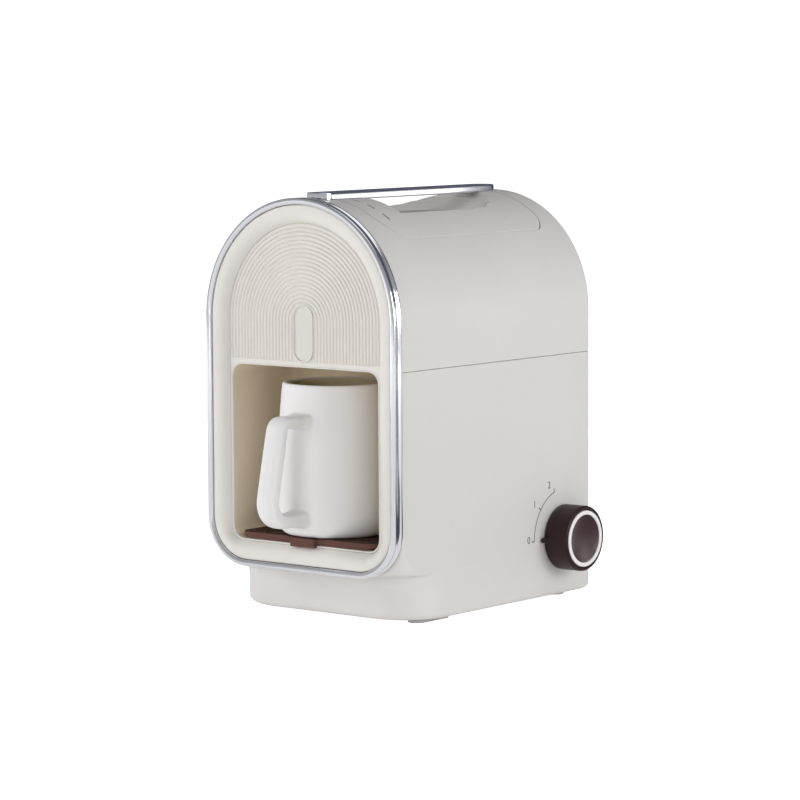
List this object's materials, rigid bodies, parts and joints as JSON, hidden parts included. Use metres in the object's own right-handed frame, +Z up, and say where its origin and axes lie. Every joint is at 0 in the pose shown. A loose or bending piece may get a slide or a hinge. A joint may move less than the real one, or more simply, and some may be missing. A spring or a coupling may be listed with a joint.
{
  "type": "drip coffee maker",
  "caption": "Small drip coffee maker with an arch front in a bright ring, a mug bay with a mug on a mat, a hinged top lid with a bar handle, and a side selector knob.",
  "frame": {"origin": "on the worktop, in the middle of the footprint of the whole set with its knob and mug handle", "axes": "+X to the machine's right as seen from the front, -Y out of the front, +Z up"},
  "size_m": [0.171, 0.2424, 0.2681],
  "materials": {
    "shell": "satin cream",
    "bezel": "satin warm white",
    "liner": "satin beige",
    "chrome": "bright plated",
    "mat": "matte dark brown",
    "knob": "satin dark brown",
    "knob_cap": "satin dished cap",
    "badge": "white",
    "ceramic": "satin white glaze",
    "tank": "clear moulded",
    "deck": "satin",
    "sieve": "fine mesh",
    "steel": "zinc plated",
    "heater": "cast",
    "silicone": "translucent white silicone",
    "black_plastic": "matte",
    "black_rubber": "matte"
  },
  "bodies": {
    "body": {"lower_shell": "shell", "upper_shell": "shell", "base_plate": "shell", "base_screw_1": "steel", "base_screw_2": "steel", "base_screw_3": "steel", "base_screw_4": "steel", "foot_front_left": "black_rubber", "foot_front_right": "black_rubber", "foot_rear_left": "black_rubber", "foot_rear_right": "black_rubber", "chrome_ring": "chrome", "front_bezel": "bezel", "ribbed_panel": "bezel", "badge_plate": "badge", "bay_liner": "liner", "hinge_pin": "steel", "top_deck": "deck", "water_tank": "tank", "filter_basket": "deck", "permanent_filter": "sieve", "shower_head": "silicone", "riser_tube": "silicone", "inlet_hose_upper": "silicone", "inlet_hose_lower": "silicone", "check_valve": "deck", "heater_block": "heater", "thermostat": "black_plastic", "thermal_fuse": "badge", "rotary_switch": "black_plastic", "terminal_block": "badge", "cord_gland": "black_plastic"},
    "lid": {"top_lid": "shell", "lid_handle": "chrome", "handle_screw_front": "steel", "handle_screw_rear": "steel"},
    "knob": {"knob_body": "knob", "knob_ring": "badge", "knob_cap": "knob_cap", "knob_shaft": "steel"},
    "mat": {"drip_mat": "mat"},
    "mug": {"mug": "ceramic"}
  },
  "joints": [
    {"name": "lid_hinge", "type": "hinge", "parent": "body", "child": "lid", "pos_m": [-0.0085, 0.11059, 0.2622], "axis": [-1, 0, 0], "range_deg": [0, 80]},
    {"name": "knob_turn", "type": "hinge", "parent": "body", "child": "knob", "pos_m": [0.0673, 0.08859, 0.0405], "axis": [-1, 0, 0], "range_deg": [0, 72]},
    {"name": "mat_slide", "type": "slide", "parent": "body", "child": "mat", "axis": [0, -1, 0], "range_m": [0, 0.1]},
    {"name": "mug_slide", "type": "slide", "parent": "body", "child": "mug", "axis": [0, -1, 0], "range_m": [0, 0.13]}
  ]
}
